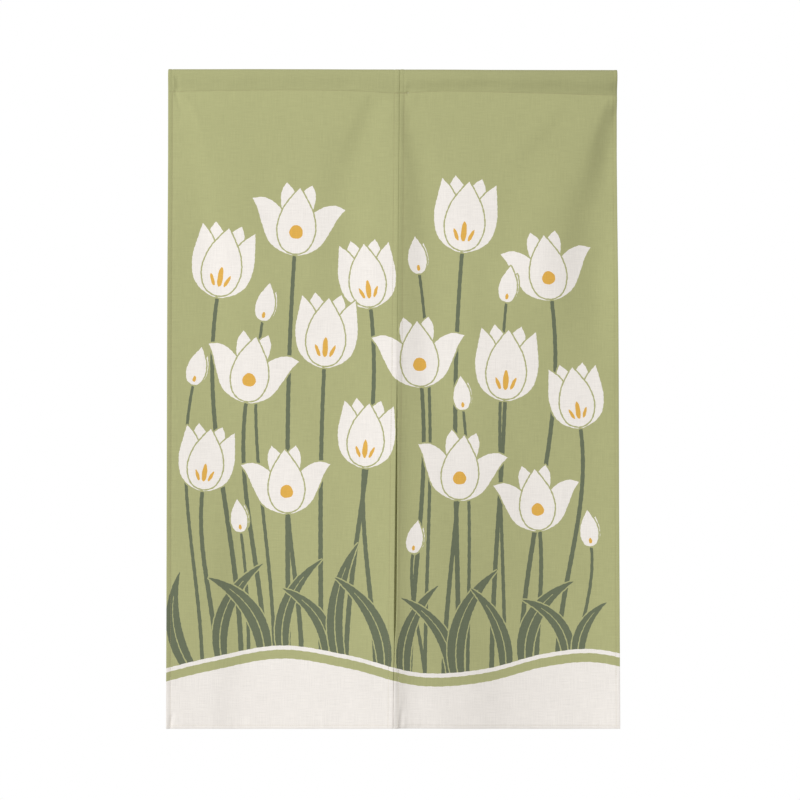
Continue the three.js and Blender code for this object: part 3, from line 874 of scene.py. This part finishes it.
def layersAt(panel, flat):  # painted shade: 1 where the cloth lies double, more on the pocket; it darkens the colour
    u, s = flat[:, 0], flat[:, 1]
    x = panel["left"](0.0) + (panel["right"](0.0) - panel["left"](0.0)) * u / panel["flatWidth"]
    inset, hem = hemInset(panel, u)
    side = paintedDoubleShade["hem"] * grooveDepth(panel, u, s - curtain["drop"])
    paintedHemShade = np.where(inset < hem + paintedDoubleShade["margin"], side, 0.0)
    atFoot = (s < curtain["bottomHem"] + paintedDoubleShade["margin"]) & (x > paintedDoubleShade["footFrom"])
    paintedHemShade = np.maximum(paintedHemShade, np.where(atFoot, paintedDoubleShade["foot"], 0.0))
    more = paintedDoubleShade["pocketMore"] * smooth((x - paintedDoubleShade["moreFrom"]) / paintedDoubleShade["moreOver"])
    return np.where(s > hangingLength, paintedDoubleShade["pocket"] + more, paintedHemShade)


def clothMesh(name, panel, materials):
    flat, triangles, tints = triangulate(panel)
    outline = boundary(triangles)
    count = len(flat)
    front = clothPoint(panel, flat[:, 0], flat[:, 1], 1)
    back = clothPoint(panel, flat[:, 0], flat[:, 1], -1)
    edgeU, edgeS = atTrueEdge(panel, flat[outline])
    edgeFront = clothPoint(panel, edgeU, edgeS, 1)
    edgeBack = clothPoint(panel, edgeU, edgeS, -1)
    through = edgeBack - edgeFront
    through /= np.linalg.norm(through, axis=1)[:, None]
    bend = curtain["edgeRound"]
    loops = [front[outline] + (edgeFront - front[outline]) * 0.71 + through * bend * 0.29,
             edgeFront + through * bend,
             edgeBack - through * bend,
             back[outline] + (edgeBack - back[outline]) * 0.71 - through * bend * 0.29]
    points = np.concatenate([front, back] + loops)
    edgeFlat = np.stack([edgeU, edgeS], 1)
    flatAll = np.concatenate([flat, flat] + [edgeFlat] * len(loops))

    rings = [outline] + [2 * count + k * len(outline) + np.arange(len(outline)) for k in range(len(loops))]
    rings.append(outline + count)
    faces = [triangles, triangles[:, ::-1] + count]
    wall = []
    for here, there in zip(rings[:-1], rings[1:]):
        nextHere, nextThere = np.roll(here, -1), np.roll(there, -1)
        wall.append(np.stack([here, there, nextThere], 1))
        wall.append(np.stack([here, nextThere, nextHere], 1))
    faces += wall
    faces = np.concatenate(faces)

    tintOf = {}
    for triangle, tint in zip(triangles.tolist(), tints):
        for corner in triangle:
            tintOf.setdefault(corner, tint)
    names = list(materials)
    frontIndex = [names.index(tint) for tint in tints]
    middle = flat[triangles].mean(1)
    inset, hem = hemInset(panel, middle[:, 0])
    hemmed = (inset < hem) | (middle[:, 1] < curtain["bottomHem"])
    backIndex = [names.index(tint if h else tint + "Back") for tint, h in zip(tints, hemmed)]
    wallIndex = [names.index(tintOf[p]) for p in outline.tolist()] * (2 * (len(rings) - 1))

    body = bpy.data.meshes.new(name)
    body.from_pydata(points.tolist(), [], faces.tolist())
    body.polygons.foreach_set("material_index", frontIndex + backIndex + wallIndex)
    body.polygons.foreach_set("use_smooth", [True] * len(faces))
    layer = body.uv_layers.new(name="clothFlat")
    layer.data.foreach_set("uv", flatAll[faces.ravel()].ravel())
    # painted shade where the cloth lies double, kept on the points
    body.attributes.new("layers", "FLOAT", "POINT").data.foreach_set("value", layersAt(panel, flatAll))
    for material in materials.values():
        body.materials.append(material)
    body.update()
    cloth = bpy.data.objects.new(name, body)
    bpy.context.scene.collection.objects.link(cloth)
    print(name, len(faces), "triangles")
    return cloth


# Materials

weave = {
    "pitch": 0.00078,
    "slub": 1.0,
    "mottle": 1.0,
    "paintedLayerShade": 0.06,       # how much the painted shade darkens the colour for each layer behind
    "bumpDistance": 0.00016,
    "bumpStrength": 0.7,
    "mottleScale": 9.0,
    "fuzzScale": 5200.0,
    "threadBow": 0.0011,      # how far the rows of threads wander from straight
    "bowWidth": 0.03,
    "bowLength": 0.05,
    "slubWidth": 0.0011,
    "slubUp": 0.034,          # how long the slubs are up the cloth and across it
    "slubAcross": 0.027,
    "slubSize": 0.9,
    "under": 0.36,            # how much lower a thread lies where it runs under
    "middleHeight": 0.64,
    "meanHeight": 0.78,
    "paintedGapShade": 0.20,      # how much the colour changes with each of these; with thread height it is painted shade, darker between the threads
    "slubShade": 0.11,
    "mottleShade": 0.05,
    "fuzz": 0.22,
    "rough": 0.98,
    "roughRaised": -0.10,
    "backSlubs": 1.5,
}
paint = {  # sRGB, 0 to 255
    "ground": (173, 175, 127),
    "white": (238, 234, 230),
    "green": (105, 113, 91),
    "ochre": (222, 174, 80),
    "bare": (226, 222, 208),   # the unprinted cloth, which shows through at the back
    "backShare": 0.42,
}


def linear(colour):
    return tuple(c / 255 / 12.92 if c < 11 else ((c / 255 + 0.055) / 1.055) ** 2.4 for c in colour)


def addNode(tree, kind, settings=None, **inputs):
    node = tree.nodes.new("ShaderNode" + kind)
    for key, value in (settings or {}).items():
        setattr(node, key, value)
    for key, value in inputs.items():
        socket = node.inputs[int(key[1:])] if key[0] == "i" and key[1:].isdigit() else node.inputs[key]
        if isinstance(value, bpy.types.NodeSocket):
            tree.links.new(value, socket)
        else:
            socket.default_value = value
    return node


def maths(tree, operation, *values):
    inputs = {"i" + str(k): value for k, value in enumerate(values)}
    return addNode(tree, "Math", {"operation": operation}, **inputs).outputs[0]


def newGroup(name, inputs, outputs):
    tree = bpy.data.node_groups.new(name, "ShaderNodeTree")
    for label, kind, value in inputs:
        socket = tree.interface.new_socket(name=label, in_out="INPUT", socket_type="NodeSocket" + kind)
        if value is not None:
            socket.default_value = value
    for label, kind in outputs:
        tree.interface.new_socket(name=label, in_out="OUTPUT", socket_type="NodeSocket" + kind)
    return tree, tree.nodes.new("NodeGroupInput").outputs, tree.nodes.new("NodeGroupOutput").inputs


def stretchedNoise(tree, u, v, acrossSize, upSize, detail):
    place = addNode(tree, "CombineXYZ", None, X=maths(tree, "DIVIDE", u, acrossSize),
                    Y=maths(tree, "DIVIDE", v, upSize)).outputs[0]
    noise = addNode(tree, "TexNoise", {"noise_dimensions": "2D"}, Vector=place, Scale=1.0, Detail=detail)
    return maths(tree, "SUBTRACT", noise.outputs["Fac"], 0.5)


def linenWeave():  # a plain weave of uneven threads, with painted shade between the threads and where the cloth lies double
    tree, given, result = newGroup(
        "linenWeave",
        [("Flat", "Vector", None), ("Pitch", "Float", 0.0008), ("Slub", "Float", 1.0),
         ("Mottle", "Float", 1.0), ("Layers", "Float", 0.0)],
        [("Shade", "Float"), ("Height", "Float"), ("Rough", "Float")])
    flat = addNode(tree, "SeparateXYZ", None, Vector=given["Flat"]).outputs
    u, v = flat["X"], flat["Y"]

    # Long threads run a little unevenly, so the rows of the weave are not ruler straight
    bow = (weave["bowWidth"], weave["bowLength"], 1.0)
    bowU = maths(tree, "MULTIPLY", stretchedNoise(tree, u, v, *bow), weave["threadBow"])
    bowV = maths(tree, "MULTIPLY", stretchedNoise(tree, v, u, *bow), weave["threadBow"])
    rowsU = maths(tree, "DIVIDE", maths(tree, "ADD", u, bowU), given["Pitch"])
    rowsV = maths(tree, "DIVIDE", maths(tree, "ADD", v, bowV), given["Pitch"])
    turnU, turnV = maths(tree, "MULTIPLY", rowsU, math.pi), maths(tree, "MULTIPLY", rowsV, math.pi)
    sinU, sinV = maths(tree, "SINE", turnU), maths(tree, "SINE", turnV)
    slubUp = stretchedNoise(tree, u, v, weave["slubWidth"], weave["slubUp"], 2.0)
    slubAcross = stretchedNoise(tree, u, v, weave["slubAcross"], weave["slubWidth"], 2.0)

    def thread(profile, other, slub, side):
        over = maths(tree, "MULTIPLY", maths(tree, "SIGN", profile), other)
        height = maths(tree, "MULTIPLY_ADD", over, weave["under"] * side, weave["middleHeight"])
        fullness = maths(tree, "MULTIPLY_ADD", slub, weave["slubSize"], 1.0)
        body = maths(tree, "MULTIPLY", maths(tree, "ABSOLUTE", profile), height)
        return maths(tree, "MULTIPLY", body, fullness)

    warp = thread(sinU, sinV, slubUp, 1)
    weft = thread(sinV, sinU, slubAcross, -1)
    height = maths(tree, "MAXIMUM", warp, weft)
    slubs = maths(tree, "MULTIPLY", maths(tree, "ADD", slubUp, slubAcross), given["Slub"])
    broad = addNode(tree, "TexNoise", {"noise_dimensions": "2D"}, Vector=given["Flat"],
                    Scale=weave["mottleScale"], Detail=3.0)
    mottle = maths(tree, "MULTIPLY", maths(tree, "SUBTRACT", broad.outputs["Fac"], 0.5), given["Mottle"])
    # painted shade: darker where the threads lie low, between them, and lighter on their tops
    raisedBy = maths(tree, "SUBTRACT", height, weave["meanHeight"])
    shade = maths(tree, "MULTIPLY_ADD", raisedBy, weave["paintedGapShade"], 1.0)
    shade = maths(tree, "MULTIPLY_ADD", slubs, weave["slubShade"], shade)
    shade = maths(tree, "MULTIPLY_ADD", mottle, weave["mottleShade"], shade)
    # painted shade where the cloth lies double
    paintedDarkening = maths(tree, "MULTIPLY_ADD", given["Layers"], -weave["paintedLayerShade"], 1.0)
    shade = maths(tree, "MULTIPLY", shade, paintedDarkening)
    fuzz = addNode(tree, "TexNoise", {"noise_dimensions": "2D"}, Vector=given["Flat"],
                   Scale=weave["fuzzScale"], Detail=2.0)
    raised = maths(tree, "MULTIPLY_ADD", fuzz.outputs["Fac"], weave["fuzz"], height)
    tree.links.new(shade, result["Shade"])
    tree.links.new(raised, result["Height"])
    rough = maths(tree, "MULTIPLY_ADD", height, weave["roughRaised"], weave["rough"])
    tree.links.new(rough, result["Rough"])
    return tree


weaveGroup = linenWeave()


def clothMaterial(name, colour, slubs=1.0):
    material = bpy.data.materials.new(name)
    material.use_nodes = True
    tree = material.node_tree
    shader = tree.nodes["Principled BSDF"]
    flat = addNode(tree, "UVMap", {"uv_map": "clothFlat"}).outputs[0]
    # the painted shade where the cloth lies double
    layers = addNode(tree, "Attribute", {"attribute_name": "layers"}).outputs["Fac"]
    group = addNode(tree, "Group", {"node_tree": weaveGroup}, Flat=flat, Pitch=weave["pitch"],
                    Slub=weave["slub"] * slubs, Mottle=weave["mottle"], Layers=layers)
    shaded = addNode(tree, "VectorMath", {"operation": "SCALE"}, i0=colour, Scale=group.outputs["Shade"])
    bump = addNode(tree, "Bump", None, Strength=weave["bumpStrength"],
                   Distance=weave["bumpDistance"], Height=group.outputs["Height"])
    tree.links.new(shaded.outputs[0], shader.inputs["Base Color"])
    tree.links.new(group.outputs["Rough"], shader.inputs["Roughness"])
    tree.links.new(bump.outputs[0], shader.inputs["Normal"])
    shader.inputs["Specular IOR Level"].default_value = 0.25
    shader.inputs["Sheen Weight"].default_value = 0.06
    shader.inputs["Sheen Roughness"].default_value = 0.5
    material.diffuse_color = (*colour, 1)
    return material


def backColour(colour):
    share = paint["backShare"]
    return tuple(a * (1 - share) + b * share for a, b in zip(colour, linear(paint["bare"])))


clothMaterials = {}
for tint in ("ground", "white", "green", "ochre"):
    clothMaterials[tint] = clothMaterial(tint + "Print", linear(paint[tint]))
for tint in ("ground", "white", "green", "ochre"):
    clothMaterials[tint + "Back"] = clothMaterial(
        tint + "PrintBack", backColour(linear(paint[tint])), weave["backSlubs"])
print("materials made")

# Cloth pieces

for side, panel in panels.items():
    cloth = clothMesh("cloth_" + side, panel, clothMaterials)
    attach(cloth, "root")
    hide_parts(panel["node"])

# Stitching

stitching = {
    "length": 0.0026,
    "pitch": 0.0034,
    "radius": 0.00024,
    "sides": 5,
    "zigzag": 0.0022,         # spacing of the threads that join the panels
    "fromEnd": 0.003,         # the rows across start and stop this far from a side edge
    "tackApart": 0.0005,      # a back tack's rows lie this far above and below the pocket's row
    "sideFrom": 0.004,        # the rows up the sides start this far above the foot
    "sideTo": 0.002,          # and stop this far below the pocket's row
    "tackRight": (0.0015, 0.0190),  # a back tack's ends from the right panel's inner edge
    "tackLeft": (-0.005, 0.002),    # and from the end of the left panel's row
    "tackLater": 0.0012,      # the upper tack row starts later
    "paleFoot": 0.095,        # below this height above the foot the thread is pale
    "thread": (166, 157, 116),
    "paleThread": (222, 214, 198),
}


def stitchSpots(panel):  # flat middles and directions of all of a panel's stitches
    inset = curtain["stitchInset"]
    low = curtain["bottomHem"] - inset
    leftU = panel["leftHem"] - inset
    rightU = panel["flatWidth"] - panel["rightHem"] + inset
    middles, ways = [], []
    for u in (leftU, rightU):
        s = np.arange(stitching["sideFrom"], hangingLength - stitching["sideTo"], stitching["pitch"])
        middles.append(np.stack([np.full(len(s), u), s], 1))
        ways.append(np.tile([0.0, 1.0], (len(s), 1)))
    start, stop = stitching["fromEnd"], panel["flatWidth"] - stitching["fromEnd"]
    tackStart, tackStop = stitching["tackRight"]
    if panel["node"] == "panel_left":
        tackStart, tackStop = (stop + d for d in stitching["tackLeft"])
    later, apart = stitching["tackLater"], stitching["tackApart"]
    for s, first, last in ((low, start, stop), (hangingLength, start, stop),
                           (hangingLength - apart, tackStart, tackStop),
                           (hangingLength + apart, tackStart + later, tackStop)):
        u = np.arange(first, last, stitching["pitch"])
        middles.append(np.stack([u, np.full(len(u), s)], 1))
        ways.append(np.tile([1.0, 0.0], (len(u), 1)))
    return np.concatenate(middles), np.concatenate(ways)


def tubes(paths, radii, normals):  # one closed tube for each path: paths is tubes x points x 3
    count, spots = paths.shape[:2]
    way = np.gradient(paths, axis=1)
    way /= np.linalg.norm(way, axis=2)[:, :, None]
    aside = np.cross(way, normals[:, None, :])
    aside /= np.linalg.norm(aside, axis=2)[:, :, None]
    up = np.cross(aside, way)
    sides = stitching["sides"]
    angles = 2 * np.pi * np.arange(sides) / sides
    ring = (aside[:, :, None, :] * np.cos(angles)[None, None, :, None]
            + up[:, :, None, :] * np.sin(angles)[None, None, :, None])
    points = paths[:, :, None, :] + ring * np.asarray(radii)[None, :, None, None]
    faces = []
    for k in range(spots - 1):
        for j in range(sides):
            a, b = k * sides + j, k * sides + (j + 1) % sides
            faces.append([a, b, b + sides, a + sides])
    faces.append(list(range(sides))[::-1])
    faces.append([(spots - 1) * sides + j for j in range(sides)])
    every = []
    for n in range(count):
        first = n * spots * sides
        every += [[first + corner for corner in face] for face in faces]
    return points.reshape(-1, 3), every


# A stitch from end to end: how far along, how far out from the cloth and how thick, as shares
stitchArch = table("along out thick", [
    (-1, -0.35, 0.55),
    (-0.62, 0.45, 0.95),
    (0, 0.8, 1.0),
    (0.62, 0.45, 0.95),
    (1, -0.35, 0.55),
])


def stitchTubes(panel, side):
    middles, ways = stitchSpots(panel)
    half = stitching["length"] / 2
    paths = []
    for point in stitchArch:
        flat = middles + ways * half * point["along"]
        spot = clothPoint(panel, flat[:, 0], flat[:, 1], side)
        other = clothPoint(panel, flat[:, 0], flat[:, 1], -side)
        outward = spot - other
        outward /= np.linalg.norm(outward, axis=1)[:, None]
        paths.append(spot + outward * stitching["radius"] * point["out"])
    radii = stitching["radius"] * np.array([point["thick"] for point in stitchArch])
    return tubes(np.stack(paths, 1), radii, outward)


# A thread that joins the panels behind the seam, from left to right: the panel, how far in from
# its edge, how far up as a share of half the spacing, how far aside and back, and its thickness
joinPath = table("side inset up aside back thick", [
    ("left", 0.0032, -0.9, 0, -0.0001, 0.6),
    ("left", 0.0024, -0.6, 0, 0.0004, 1.0),
    ("right", 0.0, 0, -0.0003, 0.0003, 1.0),
    ("right", 0.0007, 0, 0, 0.0003, 1.0),
    ("right", 0.0018, 0.5, 0, 0.0003, 1.0),
    ("right", 0.0028, 0.9, 0, -0.0001, 0.6),
])


def joinTubes():  # they lie closer together at the top of the slit
    top, foot = hangingLength - 0.004, curtain["drop"] + curtain["slitTop"]
    levels = np.concatenate([np.arange(foot + 0.003, top, stitching["zigzag"]),
                             np.arange(foot - 0.001, foot + 0.002, 0.0005)])
    half = stitching["zigzag"] / 2
    paths = []
    for point in joinPath:
        panel = panels[point["side"]]
        u = point["inset"] if point["side"] == "right" else panel["flatWidth"] - point["inset"]
        spots = clothPoint(panel, np.full(len(levels), u), levels + half * point["up"], -1)
        paths.append(spots + [point["aside"], point["back"], 0])
    radii = stitching["radius"] * np.array([point["thick"] for point in joinPath])
    return tubes(np.stack(paths, 1), radii, np.tile([0.0, 1.0, 0.0], (len(levels), 1)))


def meshObject(name, points, faces, materials):
    body = bpy.data.meshes.new(name)
    body.from_pydata(points.tolist() if hasattr(points, "tolist") else points, [], faces)
    body.polygons.foreach_set("use_smooth", [True] * len(faces))
    for material in materials:
        body.materials.append(material)
    body.update()
    piece = bpy.data.objects.new(name, body)
    bpy.context.scene.collection.objects.link(piece)
    print(name, sum(len(face) - 2 for face in faces), "triangles")
    return piece


def threadMaterial(name, colour):
    material = bpy.data.materials.new(name)
    material.use_nodes = True
    tree = material.node_tree
    shader = tree.nodes["Principled BSDF"]
    place = addNode(tree, "TexCoord").outputs["Object"]
    twist = addNode(tree, "TexWave", {"bands_direction": "DIAGONAL"}, Vector=place, Scale=900.0,
                    Distortion=1.5).outputs["Fac"]
    # painted shade: the thread is darker in the low bands of its twist
    shade = maths(tree, "MULTIPLY_ADD", twist, 0.16, 0.90)
    shaded = addNode(tree, "VectorMath", {"operation": "SCALE"}, i0=linear(colour), Scale=shade)
    bump = addNode(tree, "Bump", None, Strength=0.5, Distance=0.00008, Height=twist)
    tree.links.new(shaded.outputs[0], shader.inputs["Base Color"])
    tree.links.new(bump.outputs[0], shader.inputs["Normal"])
    shader.inputs["Roughness"].default_value = 0.7
    shader.inputs["Sheen Weight"].default_value = 0.2
    return material


thread = threadMaterial("sewingThread", stitching["thread"])
paleThread = threadMaterial("paleSewingThread", stitching["paleThread"])
for side, panel in panels.items():
    frontPoints, frontFaces = stitchTubes(panel, 1)
    backPoints, backFaces = stitchTubes(panel, -1)
    faces = frontFaces + [[corner + len(frontPoints) for corner in face] for face in backFaces]
    points = np.concatenate([frontPoints, backPoints])
    piece = meshObject("stitching_" + side, points, faces, [thread, paleThread])
    low = points[[face[0] for face in faces], 2] < stitching["paleFoot"] - curtain["drop"]
    piece.data.polygons.foreach_set("material_index", low.astype(int))
    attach(piece, "root")

joinPoints, joinFaces = joinTubes()
join = meshObject("stitching_join", joinPoints, joinFaces, [thread])
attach(join, "root")

print("stitching made")

# Studio

studio = {
    "floorZ": -2.0,
    "floorHalf": 2.5,
    "floorFront": -3,
    "floorBack": 2.5,
    "floorColour": (0.86, 0.86, 0.85, 1),
    "ambient": 0.50,
    "ambientColour": (1.0, 0.972, 0.935, 1),
    "keyFrom": (-4.1, -5.2, 2.2),
    "keyTo": (0, 0, -0.6),
    "keySize": 2.6,
    "keyPower": 362,
}


def addStudio():
    half, down = studio["floorHalf"], studio["floorZ"]
    corners = [(-half, studio["floorFront"], down), (half, studio["floorFront"], down),
               (half, studio["floorBack"], down), (-half, studio["floorBack"], down)]
    pale = bpy.data.materials.new("paleFloor")
    pale.use_nodes = True
    shader = pale.node_tree.nodes["Principled BSDF"]
    shader.inputs["Base Color"].default_value = studio["floorColour"]
    shader.inputs["Roughness"].default_value = 0.9
    floor = meshObject("studio_floor", corners, [[0, 1, 2, 3]], [pale])

    key = bpy.data.lights.new("key", "AREA")
    key.size = studio["keySize"]
    key.energy = studio["keyPower"]
    lamp = bpy.data.objects.new("key", key)
    lamp.location = studio["keyFrom"]
    aim = Vector(studio["keyTo"]) - Vector(studio["keyFrom"])
    lamp.rotation_euler = aim.to_track_quat("-Z", "Y").to_euler()
    bpy.context.scene.collection.objects.link(lamp)

    world = bpy.data.worlds.new("studio")
    bpy.context.scene.world = world
    world.use_nodes = True
    tree = world.node_tree
    tree.nodes.clear()
    seen = addNode(tree, "Background", None, Color=(1, 1, 1, 1), Strength=1.0)
    lighting = addNode(tree, "Background", None, Color=studio["ambientColour"], Strength=studio["ambient"])
    mixed = addNode(tree, "MixShader", None, i0=addNode(tree, "LightPath").outputs["Is Camera Ray"],
                    i1=lighting.outputs[0], i2=seen.outputs[0])
    tree.links.new(mixed.outputs[0], addNode(tree, "OutputWorld").inputs["Surface"])
    bpy.context.scene.view_settings.view_transform = "Standard"


addStudio()
print("studio ready")
